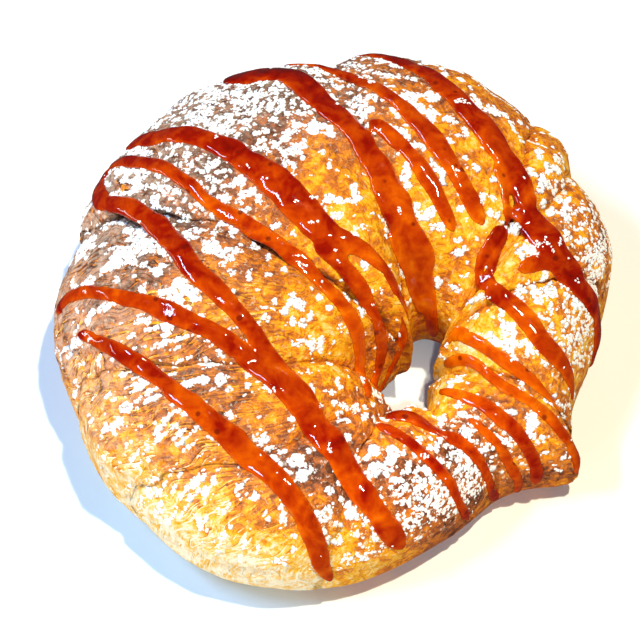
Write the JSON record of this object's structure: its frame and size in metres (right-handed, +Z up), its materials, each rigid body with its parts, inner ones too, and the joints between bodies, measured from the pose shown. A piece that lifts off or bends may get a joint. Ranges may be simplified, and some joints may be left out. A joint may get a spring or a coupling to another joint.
{
  "type": "guava cheese croissant",
  "caption": "Large curled croissant baked into a ring, horns joined, with guava glaze drizzled over the crust and icing sugar, to rest on a plate.",
  "frame": {"origin": "on the surface it rests on, under the middle of its bounding box", "axes": "+Z up from the base, -Y towards the side whose low flank is pale, +X towards the joined horns"},
  "size_m": [0.133, 0.1346, 0.0558],
  "materials": {
    "baked_crust": "baked flaky crust, golden brown, paler on the low front flank"
  },
  "bodies": {
    "root": {"croissant": "baked_crust"}
  },
  "joints": []
}
